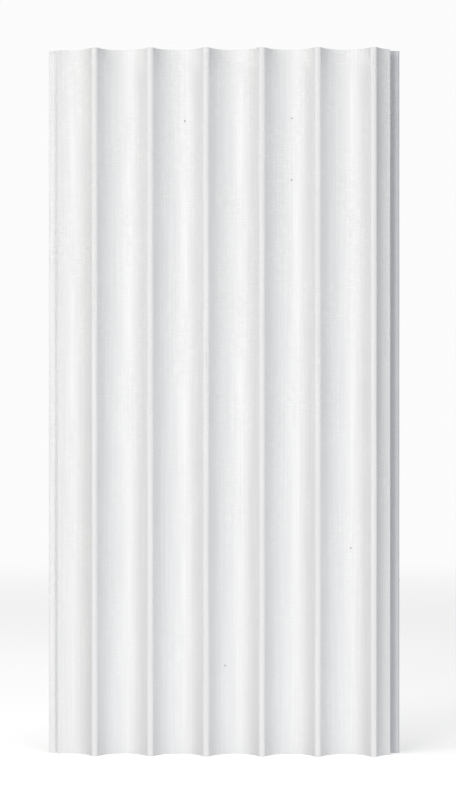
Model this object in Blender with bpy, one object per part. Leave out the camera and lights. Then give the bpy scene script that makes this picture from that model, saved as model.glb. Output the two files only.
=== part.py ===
"""A cut length of fluted wall panel, extruded in one piece from foamed polystyrene.

Seen from the front, X runs to the right and Z runs up along the flutes. The back lies on the wall, in
the plane Y = 0, and the ribs stand out from it towards -Y. The origin is on the back, in the middle of
the cover width and halfway up.

The section is drawn as points of (x, depth), where depth is measured from the rib crests to the wall.
"""

import math

import bmesh
import bpy
from mathutils import Vector

# Driving dimensions, in metres
PITCH = 0.020
RIB_COUNT = 6
LENGTH = 0.254
THICKNESS = 0.012

# Each flute is an arc of a circle, and meets the flat rib crests in rounded arrises
FLUTE_DEPTH = 0.0070
CREST_WIDTH = 0.0021
ARRIS_RADIUS = 0.0011

# The joint to the next panel lies inside a flute, this far from its middle
JOINT_OFFSET = -0.0038

# Tongue along the left edge, and the slot and flange along the right edge that receive the next one
TONGUE_REACH = 0.0033
TONGUE_FRONT = 0.0083
TONGUE_BACK = 0.0099
SLOT_FRONT = 0.0081
FLANGE_FRONT = 0.0101
FLANGE_REACH = 0.0035
JOINT_PLAY = 0.0003

# Roundings of the long edges
STEP_ROUNDING = 0.0003
LIP_ROUNDING = 0.0003
TONGUE_ROUNDING = 0.0003
FLANGE_ROUNDING = 0.0007

# White film skin
SKIN_COLOUR = (0.86, 0.86, 0.86, 1.0)
SKIN_ROUGHNESS = 0.45

# Facets
FLUTE_STEPS = 48
ARRIS_STEPS = 6
ROUNDING_STEPS = 4
SMOOTH_ANGLE = math.radians(30)
WELD_DISTANCE = 0.000001

# Worked out from the driving dimensions
COVER_WIDTH = PITCH * RIB_COUNT
JOINT_LEFT = -COVER_WIDTH / 2
JOINT_RIGHT = COVER_WIDTH / 2
HALF_CHORD = (PITCH - CREST_WIDTH) / 2
FLUTE_RADIUS = (HALF_CHORD**2 + FLUTE_DEPTH**2) / (2 * FLUTE_DEPTH)
FLUTE_CENTRE_DEPTH = FLUTE_DEPTH - FLUTE_RADIUS

# An arris arc touches the crest plane and the flute's arc from outside it
ARRIS_OFFSET = math.sqrt(
    (FLUTE_RADIUS + ARRIS_RADIUS) ** 2 - (ARRIS_RADIUS - FLUTE_CENTRE_DEPTH) ** 2
)
FLANK_ANGLE = math.asin(ARRIS_OFFSET / (FLUTE_RADIUS + ARRIS_RADIUS))
JOINT_ANGLE = math.asin(JOINT_OFFSET / FLUTE_RADIUS)

# The flute's facets stop this far short of the joint, to leave room for its rounded edge
EDGE_ANGLE = math.radians(5)


def clear_scene():
    for obj in list(bpy.data.objects):
        bpy.data.objects.remove(obj, do_unlink=True)


def flute_arc(middle, first, last):
    """Points on a flute's arc, left to right. Angles are 0 at its bottom and positive to the right."""
    steps = round(FLUTE_STEPS * (last - first) / (2 * FLANK_ANGLE))
    points = []
    for step in range(steps + 1):
        angle = first + (last - first) * step / steps
        x = middle + FLUTE_RADIUS * math.sin(angle)
        depth = FLUTE_CENTRE_DEPTH + FLUTE_RADIUS * math.cos(angle)
        points.append(Vector((x, depth)))
    return points


def arris_arc(middle, side):
    """Points of the rounded arris on one side of a flute, from the crest down. Side is -1 or 1."""
    points = []
    for step in range(ARRIS_STEPS):
        angle = FLANK_ANGLE * step / ARRIS_STEPS
        x = middle + side * (ARRIS_OFFSET - ARRIS_RADIUS * math.sin(angle))
        depth = ARRIS_RADIUS * (1 - math.cos(angle))
        points.append(Vector((x, depth)))
    return points


def joint_point(joint):
    """The sharp corner where a joint line cuts the flute's surface."""
    return Vector((joint, FLUTE_CENTRE_DEPTH + FLUTE_RADIUS * math.cos(JOINT_ANGLE)))


def front_points():
    """The fluted front from the left joint to the right joint, without the two edges' corners."""
    first_middle = JOINT_LEFT - JOINT_OFFSET
    points = flute_arc(first_middle, JOINT_ANGLE + EDGE_ANGLE, FLANK_ANGLE)
    points += reversed(arris_arc(first_middle, 1))
    for index in range(1, RIB_COUNT):
        middle = first_middle + index * PITCH
        points += arris_arc(middle, -1)
        points += flute_arc(middle, -FLANK_ANGLE, FLANK_ANGLE)
        points += reversed(arris_arc(middle, 1))
    last_middle = first_middle + COVER_WIDTH
    points += arris_arc(last_middle, -1)
    points += flute_arc(last_middle, -FLANK_ANGLE, JOINT_ANGLE - EDGE_ANGLE)
    return points


def rounded(before, corner, after, radius):
    """Points of the arc that rounds off a corner between two straight stretches."""
    back = (before - corner).normalized()
    ahead = (after - corner).normalized()
    half_angle = back.angle(ahead) / 2
    centre = corner + (back + ahead).normalized() * radius / math.sin(half_angle)
    reach = radius / math.tan(half_angle)
    first = (corner + back * reach - centre).normalized()
    last = (corner + ahead * reach - centre).normalized()
    shares = [step / ROUNDING_STEPS for step in range(ROUNDING_STEPS + 1)]
    return [centre + first.slerp(last, share) * radius for share in shares]


def section_outline():
    """The closed section, from the tongue's tip across the front and back along the wall."""
    tongue_tip = JOINT_LEFT - TONGUE_REACH
    rebate_end = JOINT_LEFT + FLANGE_REACH + JOINT_PLAY
    slot_end = JOINT_RIGHT - TONGUE_REACH - JOINT_PLAY
    flange_tip = JOINT_RIGHT + FLANGE_REACH

    corners = [
        (Vector((rebate_end, TONGUE_BACK)), 0),
        (Vector((tongue_tip, TONGUE_BACK)), TONGUE_ROUNDING),
        (Vector((tongue_tip, TONGUE_FRONT)), TONGUE_ROUNDING),
        (Vector((JOINT_LEFT, TONGUE_FRONT)), 0),
        (joint_point(JOINT_LEFT), STEP_ROUNDING),
    ]
    corners += [(point, 0) for point in front_points()]
    corners += [
        (joint_point(JOINT_RIGHT), LIP_ROUNDING),
        (Vector((JOINT_RIGHT, SLOT_FRONT)), 0),
        (Vector((slot_end, SLOT_FRONT)), 0),
        (Vector((slot_end, FLANGE_FRONT)), 0),
        (Vector((flange_tip, FLANGE_FRONT)), FLANGE_ROUNDING),
        (Vector((flange_tip, THICKNESS)), 0),
        (Vector((rebate_end, THICKNESS)), 0),
    ]

    outline = []
    for index, (corner, radius) in enumerate(corners):
        if radius > 0:
            before = corners[index - 1][0]
            after = corners[index + 1][0]
            outline += rounded(before, corner, after, radius)
        else:
            outline.append(corner)
    return outline


def make_skin_material():
    """The white film skin that covers the foamed core."""
    material = bpy.data.materials.new("white_skin")
    material.use_nodes = True
    shader = material.node_tree.nodes["Principled BSDF"]
    shader.inputs["Base Color"].default_value = SKIN_COLOUR
    shader.inputs["Roughness"].default_value = SKIN_ROUGHNESS
    shader.inputs["Metallic"].default_value = 0.0
    return material


def extrude_section(name, outline, collection):
    """The section as a flat outline, run out along Z and centred on the origin's height."""
    curve = bpy.data.curves.new(name + "_section", "CURVE")
    curve.dimensions = "2D"
    curve.fill_mode = "BOTH"
    curve.extrude = LENGTH / 2
    spline = curve.splines.new("POLY")
    spline.points.add(len(outline) - 1)
    for spline_point, (x, depth) in zip(spline.points, outline):
        spline_point.co = (x, depth - THICKNESS, 0, 1)
    spline.use_cyclic_u = True

    section = bpy.data.objects.new(name + "_section", curve)
    collection.objects.link(section)
    return mesh_from_curve(name, section, collection)


def mesh_from_curve(name, source, collection):
    """A mesh object in place of a curve object, with its loose caps welded on."""
    depsgraph = bpy.context.evaluated_depsgraph_get()
    mesh = bpy.data.meshes.new_from_object(source.evaluated_get(depsgraph))
    mesh.name = name

    welded = bmesh.new()
    welded.from_mesh(mesh)
    bmesh.ops.remove_doubles(welded, verts=welded.verts, dist=WELD_DISTANCE)
    bmesh.ops.recalc_face_normals(welded, faces=welded.faces)
    welded.to_mesh(mesh)
    welded.free()

    mesh.shade_smooth()
    mesh.set_sharp_from_angle(angle=SMOOTH_ANGLE)
    obj = bpy.data.objects.new(name, mesh)
    obj.matrix_world = source.matrix_world.copy()
    collection.objects.link(obj)
    bpy.data.objects.remove(source, do_unlink=True)
    return obj


def build():
    clear_scene()
    collection = bpy.data.collections.new("Fluted wall panel")
    bpy.context.scene.collection.children.link(collection)
    panel = extrude_section("fluted_panel", section_outline(), collection)
    panel.data.materials.append(make_skin_material())


build()
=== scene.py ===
import math

import bmesh
import bpy
import numpy as np
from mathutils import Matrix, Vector
from mathutils.geometry import delaunay_2d_cdt


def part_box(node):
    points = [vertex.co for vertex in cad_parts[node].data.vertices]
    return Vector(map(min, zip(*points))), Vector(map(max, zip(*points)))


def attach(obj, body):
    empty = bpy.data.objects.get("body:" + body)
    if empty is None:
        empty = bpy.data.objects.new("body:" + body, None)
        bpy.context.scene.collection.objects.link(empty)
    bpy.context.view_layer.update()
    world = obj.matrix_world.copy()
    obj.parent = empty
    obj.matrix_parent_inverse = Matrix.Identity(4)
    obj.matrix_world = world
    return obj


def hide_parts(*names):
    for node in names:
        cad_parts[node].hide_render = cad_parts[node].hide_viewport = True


# The panel's looks: a white linen-grained film skin round a foamed core that shows on the two cut ends.
# X runs to the right as seen from the front and Z up along the flutes. The back lies in the plane Y = 0.
# Lengths are in metres. A point of the section is (x, depth), with depth measured from the rib crests.

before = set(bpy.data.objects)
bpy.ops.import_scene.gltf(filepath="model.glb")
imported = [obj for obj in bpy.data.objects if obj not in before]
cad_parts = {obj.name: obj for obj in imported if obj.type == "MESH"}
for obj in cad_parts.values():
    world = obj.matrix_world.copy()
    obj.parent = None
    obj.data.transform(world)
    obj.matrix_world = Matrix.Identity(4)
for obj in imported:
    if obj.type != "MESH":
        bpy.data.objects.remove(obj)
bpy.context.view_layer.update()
panel_low, panel_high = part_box("fluted_panel")

# Overall sizes, from the frame
LENGTH = panel_high.z - panel_low.z
THICKNESS = panel_high.y - panel_low.y
TONGUE_TIP = panel_low.x
FLANGE_TIP = panel_high.x

# Flutes and ribs
PITCH = 0.020
RIB_COUNT = 6
FLUTE_DEPTH = 0.0070
CREST_WIDTH = 0.0021
ARRIS_RADIUS = 0.0011
JOINT_OFFSET = -0.0038

# Tongue along the left edge, slot and flange along the right edge
TONGUE_FRONT = 0.0083
TONGUE_BACK = 0.0099
SLOT_FRONT = 0.0081
FLANGE_FRONT = 0.0101
JOINT_PLAY = 0.0003
EDGE_ROUNDING = 0.0003
FLANGE_ROUNDING = 0.0007

# Worked out from the above
COVER_WIDTH = PITCH * RIB_COUNT
JOINT_LEFT = -COVER_WIDTH / 2
JOINT_RIGHT = COVER_WIDTH / 2
REBATE_END = JOINT_LEFT + (FLANGE_TIP - JOINT_RIGHT) + JOINT_PLAY
SLOT_END = JOINT_RIGHT - (JOINT_LEFT - TONGUE_TIP) - JOINT_PLAY
FIRST_MIDDLE = JOINT_LEFT - JOINT_OFFSET
HALF_CHORD = (PITCH - CREST_WIDTH) / 2
FLUTE_RADIUS = (HALF_CHORD**2 + FLUTE_DEPTH**2) / (2 * FLUTE_DEPTH)
FLUTE_CENTRE_DEPTH = FLUTE_DEPTH - FLUTE_RADIUS
ARRIS_OFFSET = math.sqrt(
    (FLUTE_RADIUS + ARRIS_RADIUS) ** 2 - (ARRIS_RADIUS - FLUTE_CENTRE_DEPTH) ** 2
)
FLANK_ANGLE = math.asin(ARRIS_OFFSET / (FLUTE_RADIUS + ARRIS_RADIUS))
JOINT_ANGLE = math.asin(JOINT_OFFSET / FLUTE_RADIUS)
EDGE_ANGLE = math.radians(3)

# Mesh of the skin
FLUTE_STEPS = 80
ARRIS_STEPS = 6
ROUNDING_STEPS = 4
EDGE_SPACING = 0.00045
BACK_SPACING = 0.0020
ROW_SPACING = 0.0020
END_ROWS = (0.0004, 0.0010)
CELL_SPACING = 0.0008
SHARP_ANGLE = math.radians(35)

# Relief that the extruder's die and the film leave, always into the solid
SEED = 7
DIE_LINE_WIDTH = 0.00045
DIE_LINE_DEPTH = 0.000012
DIE_LINE_DRIFT = 0.045
WAVE_WIDTH = 0.005
WAVE_LENGTH = 0.028
WAVE_DEPTH = 0.00005
CUT_ROUGHNESS = 0.00008
CELL_DEPTH = 0.00012

# Fine grooves in the film beside the left joint, as distances from it, deepest at the top
EDGE_GROOVES = (0.0007, 0.0013)
GROOVE_WIDTH = 0.0003
GROOVE_DEPTH = 0.00007

# Finish of the film and of the foam, and the painted shadow on the right flange
FILM_DARK = (0.815, 0.815, 0.82, 1)
FILM_LIGHT = (0.895, 0.895, 0.895, 1)
FILM_ROUGHNESS = 0.47
# Painted shadow: the right flange's front strip gets this darker colour in place of the shadow that the last rib
# casts on it
FLANGE_SHADOW_COLOUR = (0.64, 0.65, 0.68, 1)
GRAIN_DEPTH = 0.00005
FOAM_DARK = (0.74, 0.73, 0.70, 1)
FOAM_LIGHT = (0.90, 0.89, 0.87, 1)
FOAM_ROUGHNESS = 0.9
FOAM_CELLS = 2600
FOAM_DEPTH = 0.0001

# Specks at (x, z), and scuffs at (rib from the left, offset from its crest, z, height)
MARK_COLOUR = (0.42, 0.41, 0.40, 1)
MARK_REACH = 0.0012
SPECK_SIZE = 0.0008
SCUFF_WIDTH = 0.0005
SPECKS = ((0.0246, 0.1023), (0.0245, 0.0800), (-0.0140, 0.1013), (0.0005, -0.0950), (0.0458, -0.0526))
SCUFFS = ((2, 0.0001, 0.0152, 0.009), (3, 0.0002, 0.0254, 0.006), (4, 0.0003, 0.0232, 0.025))


def flute_arc(middle, first, last):
    """Points on a flute's arc, left to right. Angles are 0 at its bottom and positive to the right."""
    steps = round(FLUTE_STEPS * (last - first) / (2 * FLANK_ANGLE))
    points = []
    for step in range(steps + 1):
        angle = first + (last - first) * step / steps
        x = middle + FLUTE_RADIUS * math.sin(angle)
        depth = FLUTE_CENTRE_DEPTH + FLUTE_RADIUS * math.cos(angle)
        points.append(Vector((x, depth)))
    return points


def arris_arc(middle, side):
    """Points of the rounded arris on one side of a flute, from the crest down. Side is -1 or 1."""
    points = []
    for step in range(ARRIS_STEPS):
        angle = FLANK_ANGLE * step / ARRIS_STEPS
        x = middle + side * (ARRIS_OFFSET - ARRIS_RADIUS * math.sin(angle))
        depth = ARRIS_RADIUS * (1 - math.cos(angle))
        points.append(Vector((x, depth)))
    return points


def front_points():
    """The fluted front from the left joint to the right joint, without the two edges' corners."""
    points = flute_arc(FIRST_MIDDLE, JOINT_ANGLE + EDGE_ANGLE, FLANK_ANGLE)
    points += reversed(arris_arc(FIRST_MIDDLE, 1))
    for index in range(1, RIB_COUNT):
        middle = FIRST_MIDDLE + index * PITCH
        points += arris_arc(middle, -1)
        points += flute_arc(middle, -FLANK_ANGLE, FLANK_ANGLE)
        points += reversed(arris_arc(middle, 1))
    last_middle = FIRST_MIDDLE + COVER_WIDTH
    points += arris_arc(last_middle, -1)
    points += flute_arc(last_middle, -FLANK_ANGLE, JOINT_ANGLE - EDGE_ANGLE)
    return points


def rounded(before, corner, after, radius):
    """Points of the arc that rounds off a corner between two straight stretches."""
    back = (before - corner).normalized()
    ahead = (after - corner).normalized()
    half_angle = back.angle(ahead) / 2
    centre = corner + (back + ahead).normalized() * radius / math.sin(half_angle)
    reach = radius / math.tan(half_angle)
    first = (corner + back * reach - centre).normalized()
    last = (corner + ahead * reach - centre).normalized()
    shares = [step / ROUNDING_STEPS for step in range(ROUNDING_STEPS + 1)]
    return [centre + first.slerp(last, share) * radius for share in shares]


def section_corners():
    """The corners of the closed section with their roundings, across the front and back along the wall."""
    joint_depth = FLUTE_CENTRE_DEPTH + FLUTE_RADIUS * math.cos(JOINT_ANGLE)
    corners = [
        (Vector((REBATE_END, TONGUE_BACK)), 0),
        (Vector((TONGUE_TIP, TONGUE_BACK)), EDGE_ROUNDING),
        (Vector((TONGUE_TIP, TONGUE_FRONT)), EDGE_ROUNDING),
        (Vector((JOINT_LEFT, TONGUE_FRONT)), 0),
        (Vector((JOINT_LEFT, joint_depth)), EDGE_ROUNDING),
    ]
    corners += [(point, 0) for point in front_points()]
    corners += [
        (Vector((JOINT_RIGHT, joint_depth)), EDGE_ROUNDING),
        (Vector((JOINT_RIGHT, SLOT_FRONT)), 0),
        (Vector((SLOT_END, SLOT_FRONT)), 0),
        (Vector((SLOT_END, FLANGE_FRONT)), 0),
        (Vector((FLANGE_TIP, FLANGE_FRONT)), FLANGE_ROUNDING),
        (Vector((FLANGE_TIP, THICKNESS)), 0),
        (Vector((REBATE_END, THICKNESS)), 0),
    ]
    return corners


def section_outline():
    """The section as an array of points, close enough together to carry the relief."""
    corners = section_corners()
    outline = []
    for index, (corner, radius) in enumerate(corners):
        if radius > 0:
            before = corners[index - 1][0]
            after = corners[(index + 1) % len(corners)][0]
            outline += rounded(before, corner, after, radius)
        else:
            outline.append(corner)

    points = []
    for index, start in enumerate(outline):
        end = outline[(index + 1) % len(outline)]
        on_back = min(start.y, end.y) > THICKNESS - EDGE_ROUNDING
        spacing = BACK_SPACING if on_back else EDGE_SPACING
        steps = max(1, round((end - start).length / spacing))
        points += [start.lerp(end, step / steps) for step in range(steps)]
    return np.array([(point.x, point.y) for point in points])


def inward_directions(outline):
    """Unit vectors into the solid at each point of the section."""
    tangent = np.roll(outline, -1, axis=0) - np.roll(outline, 1, axis=0)
    tangent /= np.linalg.norm(tangent, axis=1)[:, None]
    return np.column_stack((-tangent[:, 1], tangent[:, 0]))


def smooth_noise(rng, along, across, length, width):
    """Random values between -1 and 1 on a grid, joined smoothly over the given length and width."""
    rows = along / length
    columns = across / width
    knots = rng.uniform(-1, 1, (int(rows.max()) + 2, int(columns.max()) + 2))
    row = rows.astype(int)
    column = columns.astype(int)
    row_share = (rows - row)[:, None]
    column_share = (columns - column)[None, :]
    row_share = row_share**2 * (3 - 2 * row_share)
    column_share = column_share**2 * (3 - 2 * column_share)
    lower = knots[row][:, column] * (1 - column_share) + knots[row][:, column + 1] * column_share
    upper = knots[row + 1][:, column] * (1 - column_share) + knots[row + 1][:, column + 1] * column_share
    return lower * (1 - row_share) + upper * row_share


def row_shares():
    """Heights of the mesh rows as distances from the bottom, with extra rows close to both cut ends."""
    count = round(LENGTH / ROW_SPACING)
    even = [LENGTH * step / count for step in range(count + 1)]
    extra = list(END_ROWS) + [LENGTH - height for height in END_ROWS]
    return np.array(sorted(even + extra))


def edge_grooves(outline, heights):
    """Depth of the fine grooves beside the left joint at each mesh point."""
    depths = np.zeros((len(heights), len(outline)))
    on_front = outline[:, 1] < TONGUE_FRONT - EDGE_ROUNDING
    for reach in EDGE_GROOVES:
        distance = np.abs(outline[:, 0] - JOINT_LEFT - reach)
        across = np.where(on_front, np.clip(1 - distance / GROOVE_WIDTH, 0, 1), 0)
        depths += GROOVE_DEPTH * across[None, :] * (heights / LENGTH)[:, None]
    return depths


def skin_relief(rng, heights, lengths):
    """How far each mesh point lies inside the drawn section."""
    lines = smooth_noise(rng, heights * 0, lengths, 1, DIE_LINE_WIDTH)
    lines = lines * (0.6 + 0.4 * smooth_noise(rng, heights, lengths, DIE_LINE_DRIFT, DIE_LINE_WIDTH * 4))
    waves = smooth_noise(rng, heights, lengths, WAVE_LENGTH, WAVE_WIDTH)
    return DIE_LINE_DEPTH * (1 + lines) + WAVE_DEPTH * (1 + waves) / 2


def inside(points, outline):
    """Which of the points lie inside the section, by counting crossings to the right."""
    x, y = points[:, :1], points[:, 1:]
    start = outline
    end = np.roll(outline, -1, axis=0)
    crosses = (start[:, 1] > y) != (end[:, 1] > y)
    rise = np.where(end[:, 1] == start[:, 1], 1, end[:, 1] - start[:, 1])
    crossing = start[:, 0] + (y - start[:, 1]) * (end[:, 0] - start[:, 0]) / rise
    return (crosses & (x < crossing)).sum(axis=1) % 2 == 1


def core_points(rng, outline):
    """Scattered points inside the section, clear of its outline, for the foam's cells on a cut end."""
    low, high = outline.min(axis=0), outline.max(axis=0)
    xs = np.arange(low[0], high[0], CELL_SPACING)
    ys = np.arange(low[1], high[1], CELL_SPACING)
    grid = np.stack(np.meshgrid(xs, ys), axis=-1).reshape(-1, 2)
    grid += rng.uniform(-0.35, 0.35, grid.shape) * CELL_SPACING
    grid = grid[inside(grid, outline)]
    gap = np.linalg.norm(grid[:, None, :] - outline[None, :, :], axis=2).min(axis=1)
    return grid[gap > 0.4 * CELL_SPACING]


def cap_triangles(outline, interior):
    """Triangles over a cut end. Indices below the outline's length are its own points."""
    points = [Vector(point) for point in np.vstack((outline, interior))]
    border = list(range(len(outline)))
    made = delaunay_2d_cdt(points, [], [border], 1, 1e-7)
    sources = [origins[0] for origins in made[3]]
    return [[sources[corner] for corner in triangle] for triangle in made[2]]


def build_panel():
    """The whole panel as one closed mesh, with its developed lengths and heights kept for the grain."""
    rng = np.random.default_rng(SEED)
    outline = section_outline()
    count = len(outline)
    steps = np.linalg.norm(np.roll(outline, -1, axis=0) - outline, axis=1)
    lengths = np.concatenate(([0], np.cumsum(steps)))
    heights = row_shares()
    inward = inward_directions(outline)
    relief = skin_relief(rng, heights, lengths[:-1]) + edge_grooves(outline, heights)

    section = outline[None, :, :] + inward[None, :, :] * relief[:, :, None]
    levels = np.repeat(heights[:, None], count, axis=1)
    ends = CUT_ROUGHNESS * (1 + smooth_noise(rng, np.array([0, 1.0]), lengths[:-1], 1, 0.0012)) / 2
    levels[0] += ends[0]
    levels[-1] -= ends[1]
    points = np.stack((section[..., 0], section[..., 1] - THICKNESS, levels - LENGTH / 2), axis=-1)
    vertices = points.reshape(-1, 3)

    rows = len(heights)
    row, column = np.meshgrid(np.arange(rows - 1), np.arange(count), indexing="ij")
    following = (column + 1) % count
    sides = np.stack(
        (row * count + column, (row + 1) * count + column,
         (row + 1) * count + following, row * count + following), axis=-1
    ).reshape(-1, 4)
    side_grain = np.stack(
        (np.stack((lengths[column], heights[row]), -1), np.stack((lengths[column], heights[row + 1]), -1),
         np.stack((lengths[column + 1], heights[row + 1]), -1), np.stack((lengths[column + 1], heights[row]), -1)),
        axis=-2,
    ).reshape(-1, 2)

    faces = sides.tolist()
    all_vertices = [vertices]
    total = len(vertices)
    for end_row, side in ((0, 1), (rows - 1, -1)):
        border = section[end_row]
        interior = core_points(rng, border)
        pits = CELL_DEPTH * rng.uniform(0.1, 1, len(interior)) + CUT_ROUGHNESS
        level = (0 if side == 1 else LENGTH) + side * pits - LENGTH / 2
        all_vertices.append(np.column_stack((interior[:, 0], interior[:, 1] - THICKNESS, level)))
        for triangle in cap_triangles(border, interior):
            ring = [corner + end_row * count if corner < count else corner - count + total for corner in triangle]
            faces.append(ring if side == -1 else ring[::-1])
        total += len(interior)

    mesh = bpy.data.meshes.new("panel_skin")
    mesh.from_pydata(np.vstack(all_vertices).tolist(), [], faces)
    grain = mesh.attributes.new("skin_grain", "FLOAT_VECTOR", "CORNER")
    values = np.zeros((len(mesh.loops), 3))
    values[: len(side_grain), :2] = side_grain * 1000
    grain.data.foreach_set("vector", values.ravel())
    material_index = np.zeros(len(mesh.polygons), dtype=np.int32)
    material_index[len(sides):] = 1
    mesh.polygons.foreach_set("material_index", material_index)
    mesh.update()
    mesh.validate()

    closed = bmesh.new()
    closed.from_mesh(mesh)
    bmesh.ops.recalc_face_normals(closed, faces=closed.faces)
    closed.to_mesh(mesh)
    closed.free()
    mesh.shade_smooth()
    mesh.set_sharp_from_angle(angle=SHARP_ANGLE)
    panel = bpy.data.objects.new("panel_skin", mesh)
    bpy.context.scene.collection.objects.link(panel)
    return panel


def add_node(tree, kind, inputs=None, **settings):
    """Adds a shader node. An input is either a value or the output socket that feeds it."""
    made = tree.nodes.new(kind)
    for name, value in settings.items():
        setattr(made, name, value)
    for key, value in (inputs or {}).items():
        if isinstance(value, bpy.types.NodeSocket):
            tree.links.new(value, made.inputs[key])
        else:
            made.inputs[key].default_value = value
    return made


def new_material(name, roughness):
    material = bpy.data.materials.new(name)
    material.use_nodes = True
    shader = material.node_tree.nodes["Principled BSDF"]
    shader.inputs["Roughness"].default_value = roughness
    return material, material.node_tree, shader


def noise(tree, vector, across, along, seed, detail=1.0):
    """Noise with so many features per unit of the vector's first and second parts."""
    scaled = add_node(tree, "ShaderNodeVectorMath", {0: vector, 1: (across, along, 1)}, operation="MULTIPLY")
    moved = add_node(tree, "ShaderNodeVectorMath", {0: scaled.outputs[0], 1: (seed, seed, seed)})
    made = add_node(tree, "ShaderNodeTexNoise", {"Vector": moved.outputs[0], "Scale": 1.0, "Detail": detail})
    return made.outputs[0]


def between(tree, value, low, high, to_low=0.0, to_high=1.0):
    """The value mapped from one range to another, easing in and out at its ends."""
    inputs = {"Value": value, "From Min": low, "From Max": high, "To Min": to_low, "To Max": to_high}
    made = add_node(tree, "ShaderNodeMapRange", inputs, interpolation_type="SMOOTHSTEP")
    return made.outputs["Result"]


def combine(tree, operation, first, second):
    return add_node(tree, "ShaderNodeMath", {0: first, 1: second}, operation=operation).outputs[0]


def surface_depth(x):
    """Depth of the fluted front at x, taking the rounded arrises as part of the crest."""
    offset = (x - FIRST_MIDDLE + PITCH / 2) % PITCH - PITCH / 2
    if abs(offset) > HALF_CHORD:
        return 0.0
    return FLUTE_CENTRE_DEPTH + math.sqrt(FLUTE_RADIUS**2 - offset**2)


def mark(tree, place, x, z, width, height):
    """A soft spot on the front at x and z: 1 in its middle and 0 outside."""
    centre = (x, surface_depth(x) - THICKNESS, z)
    offset = add_node(tree, "ShaderNodeVectorMath", {0: place, 1: centre}, operation="SUBTRACT")
    sizes = (2 / width, 2 / MARK_REACH, 2 / height)
    scaled = add_node(tree, "ShaderNodeVectorMath", {0: offset.outputs[0], 1: sizes}, operation="MULTIPLY")
    distance = add_node(tree, "ShaderNodeVectorMath", {0: scaled.outputs[0]}, operation="LENGTH")
    return between(tree, distance.outputs["Value"], 0.4, 1.0, 1.0, 0.0)


def wear(tree, place):
    """Specks in the film and broken scuffs along three rib crests."""
    total = None
    for x, z in SPECKS:
        spot = mark(tree, place, x, z, SPECK_SIZE, SPECK_SIZE)
        total = spot if total is None else combine(tree, "MAXIMUM", total, spot)
    broken = between(tree, noise(tree, place, 1500, 1500, 3.0), 0.45, 0.6)
    for rib, offset, z, height in SCUFFS:
        crest = FIRST_MIDDLE + PITCH / 2 + rib * PITCH
        line = mark(tree, place, crest + offset, z, SCUFF_WIDTH, height)
        total = combine(tree, "MAXIMUM", total, combine(tree, "MULTIPLY", line, broken))
    return total


def film_material():
    """White film with a linen grain pressed into it: short upright ticks, cross threads and slubs."""
    material, tree, shader = new_material("white_film", FILM_ROUGHNESS)
    grain = add_node(tree, "ShaderNodeAttribute", attribute_name="skin_grain").outputs["Vector"]
    place = add_node(tree, "ShaderNodeTexCoord").outputs["Object"]

    upright = between(tree, noise(tree, grain, 2.6, 0.30, 11.0), 0.35, 0.65)
    cross = between(tree, noise(tree, grain, 0.25, 2.8, 23.0), 0.35, 0.65)
    slub = between(tree, noise(tree, grain, 0.16, 1.7, 37.0), 0.60, 0.72)
    streak = between(tree, noise(tree, grain, 1.3, 0.02, 51.0), 0.3, 0.7)
    patch = between(tree, noise(tree, grain, 0.09, 0.035, 67.0), 0.38, 0.62, 0.25, 1.0)
    height_share = add_node(tree, "ShaderNodeSeparateXYZ", {0: place}).outputs["Z"]
    strength = combine(tree, "MULTIPLY", patch, between(tree, height_share, -LENGTH / 2, LENGTH / 4, 0.5, 1.0))

    threads = combine(tree, "ADD", upright, combine(tree, "ADD", cross, slub))
    threads = combine(tree, "MULTIPLY", threads, strength)
    worn = wear(tree, place)
    height = combine(tree, "ADD", combine(tree, "MULTIPLY", streak, 0.5), threads)
    height = combine(tree, "SUBTRACT", height, combine(tree, "MULTIPLY", worn, 3.0))
    inputs = {"Height": height, "Strength": 1.0, "Distance": GRAIN_DEPTH}
    bump = add_node(tree, "ShaderNodeBump", inputs)
    tree.links.new(bump.outputs["Normal"], shader.inputs["Normal"])

    tone = between(tree, combine(tree, "ADD", threads, streak), 0.0, 3.0)
    white = add_node(tree, "ShaderNodeMix", {0: tone, 6: FILM_DARK, 7: FILM_LIGHT}, data_type="RGBA")
    right = add_node(tree, "ShaderNodeSeparateXYZ", {0: place}).outputs["X"]
    # Painted shadow: past the right joint the film takes the darker flange colour, standing in for the last rib's
    # cast shadow
    flange_shadow = between(tree, right, JOINT_RIGHT, JOINT_RIGHT + EDGE_ROUNDING)
    flange_shadowed = add_node(tree, "ShaderNodeMix", {0: flange_shadow, 6: white.outputs[2], 7: FLANGE_SHADOW_COLOUR}, data_type="RGBA")
    marked = add_node(tree, "ShaderNodeMix", {0: worn, 6: flange_shadowed.outputs[2], 7: MARK_COLOUR}, data_type="RGBA")
    tree.links.new(marked.outputs[2], shader.inputs["Base Color"])
    tree.links.new(between(tree, patch, 0.2, 1.0, 0.42, 0.52), shader.inputs["Roughness"])
    return material


def foam_material():
    """The foamed core on the saw cuts: fine closed cells, off-white and matt, with faint saw marks."""
    material, tree, shader = new_material("foam_core", FOAM_ROUGHNESS)
    place = add_node(tree, "ShaderNodeTexCoord").outputs["Object"]
    cells = add_node(tree, "ShaderNodeTexVoronoi", {"Vector": place, "Scale": FOAM_CELLS}).outputs["Distance"]
    saw = noise(tree, place, 900, 60, 5.0)
    height = combine(tree, "ADD", cells, combine(tree, "MULTIPLY", saw, 0.5))
    bump = add_node(tree, "ShaderNodeBump", {"Height": height, "Strength": 0.8, "Distance": FOAM_DEPTH})
    tree.links.new(bump.outputs["Normal"], shader.inputs["Normal"])
    tone = between(tree, height, 0.1, 1.0)
    colour = add_node(tree, "ShaderNodeMix", {0: tone, 6: FOAM_DARK, 7: FOAM_LIGHT}, data_type="RGBA")
    tree.links.new(colour.outputs[2], shader.inputs["Base Color"])
    return material


# Camera, as the photograph was taken. Pixels are those of the 456 by 800 photograph.
IMAGE_HEIGHT = 800
FOCAL_PIXELS = 2404
SENSOR = 36
CAMERA_DISTANCE = 0.860
CAMERA_RIGHT = 0.015
CAMERA_TURN = math.radians(0.890)
CAMERA_DROP = 2.0


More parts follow.
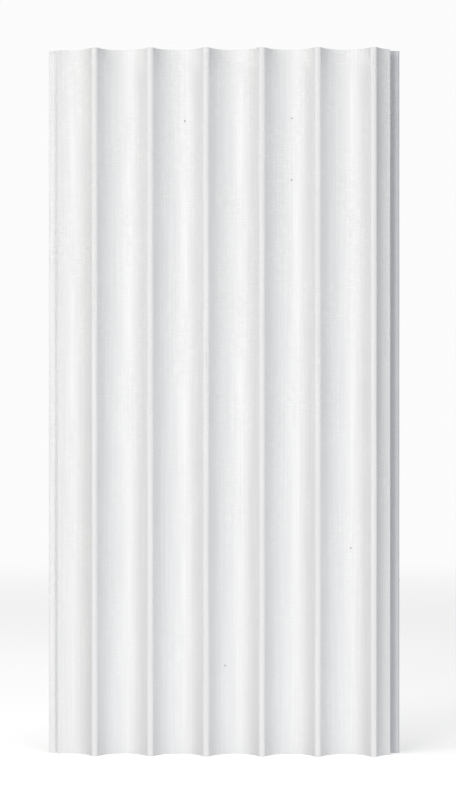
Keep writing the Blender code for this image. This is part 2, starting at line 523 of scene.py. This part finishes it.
def make_camera():
    data = bpy.data.cameras.new("camera")
    data.sensor_width = SENSOR
    data.lens = FOCAL_PIXELS * SENSOR / IMAGE_HEIGHT
    data.clip_start = 0.05
    data.clip_end = 30
    data.shift_y = CAMERA_DROP / IMAGE_HEIGHT
    camera = bpy.data.objects.new("camera", data)
    camera.location = (CAMERA_RIGHT, -THICKNESS - CAMERA_DISTANCE, 0)
    camera.rotation_euler = (math.radians(90), 0, CAMERA_TURN)
    bpy.context.scene.collection.objects.link(camera)
    bpy.context.scene.camera = camera


# Soft lights round the camera: azimuth and elevation in degrees from straight ahead, watts and colour
LIGHT_DISTANCE = 1.25
LIGHT_SIZE = 0.4
LIGHTS = {
    "key_low": (-25, 4, 5.6, (1.0, 0.99, 0.98)),
    "key_high": (-50, 30, 3.4, (1.0, 0.99, 0.965)),
    "side_left": (-84, 30, 2.0, (1.0, 0.985, 0.96)),
    "fill_right": (35, 4, 2.5, (0.96, 0.98, 1.0)),
    "side_right": (84, 4, 1.3, (0.93, 0.97, 1.0)),
    "top": (0, 82, 3.4, (0.97, 0.99, 1.0)),
    "bounce": (28, -38, 4.4, (0.96, 0.98, 1.0)),
}
AMBIENT = 0.17


def area_light(name, azimuth, elevation, power, colour):
    data = bpy.data.lights.new(name, "AREA")
    data.shape = "DISK"
    data.size = LIGHT_SIZE
    data.energy = power
    data.color = colour
    turn = math.radians(azimuth)
    rise = math.radians(elevation)
    forward = math.cos(rise)
    place = Vector((math.sin(turn) * forward, -math.cos(turn) * forward, math.sin(rise))) * LIGHT_DISTANCE
    light = bpy.data.objects.new(name, data)
    light.location = place
    light.rotation_euler = (-place).to_track_quat("-Z", "Y").to_euler()
    bpy.context.scene.collection.objects.link(light)


# Pale floor that fades into an even backdrop, which only the camera sees
FLOOR_RADIUS = 1.2
FLOOR_FADE = (0.4, 1.1)
FLOOR_GLOW = 0.50
BACKDROP_RADIUS = 6
BACKDROP_GLOW = 0.97


def make_stage():
    floor_mesh = bpy.data.meshes.new("floor")
    shape = bmesh.new()
    bmesh.ops.create_circle(shape, cap_ends=True, radius=FLOOR_RADIUS, segments=96)
    shape.to_mesh(floor_mesh)
    shape.free()
    floor = bpy.data.objects.new("floor", floor_mesh)
    floor.location = (0, 0, panel_low.z)
    bpy.context.scene.collection.objects.link(floor)
    material, tree, shader = new_material("floor", 0.8)
    place = add_node(tree, "ShaderNodeTexCoord").outputs["Object"]
    distance = add_node(tree, "ShaderNodeVectorMath", {0: place}, operation="LENGTH").outputs["Value"]
    fade = add_node(
        tree, "ShaderNodeMapRange",
        {"Value": distance, "From Min": FLOOR_FADE[0], "From Max": FLOOR_FADE[1], "To Min": 1, "To Max": 0},
        interpolation_type="SMOOTHSTEP",
    )
    tree.links.new(fade.outputs["Result"], shader.inputs["Alpha"])
    shader.inputs["Base Color"].default_value = (0.9, 0.9, 0.9, 1)
    shader.inputs["Emission Color"].default_value = (1, 1, 1, 1)
    shader.inputs["Emission Strength"].default_value = FLOOR_GLOW
    floor_mesh.materials.append(material)
    floor.visible_diffuse = False
    floor.visible_shadow = False

    backdrop_mesh = bpy.data.meshes.new("backdrop")
    shape = bmesh.new()
    bmesh.ops.create_uvsphere(shape, u_segments=48, v_segments=24, radius=BACKDROP_RADIUS)
    shape.to_mesh(backdrop_mesh)
    shape.free()
    backdrop = bpy.data.objects.new("backdrop", backdrop_mesh)
    bpy.context.scene.collection.objects.link(backdrop)
    material = bpy.data.materials.new("backdrop")
    material.use_nodes = True
    tree = material.node_tree
    tree.nodes.clear()
    glow = add_node(tree, "ShaderNodeEmission", {"Color": (1, 1, 1, 1), "Strength": BACKDROP_GLOW})
    end = add_node(tree, "ShaderNodeOutputMaterial")
    tree.links.new(glow.outputs[0], end.inputs["Surface"])
    backdrop_mesh.materials.append(material)
    backdrop.visible_diffuse = False
    backdrop.visible_glossy = False
    backdrop.visible_transmission = False
    backdrop.visible_shadow = False


def make_lights():
    for name, (azimuth, elevation, power, colour) in LIGHTS.items():
        area_light(name, azimuth, elevation, power, colour)
    world = bpy.data.worlds.new("studio")
    world.use_nodes = True
    background = world.node_tree.nodes["Background"]
    background.inputs["Color"].default_value = (1, 1, 1, 1)
    background.inputs["Strength"].default_value = AMBIENT
    bpy.context.scene.world = world


panel = build_panel()
panel.data.materials.append(film_material())
panel.data.materials.append(foam_material())
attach(panel, "root")
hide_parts("fluted_panel")
make_stage()
make_camera()
make_lights()
bpy.context.scene.view_settings.view_transform = "Standard"
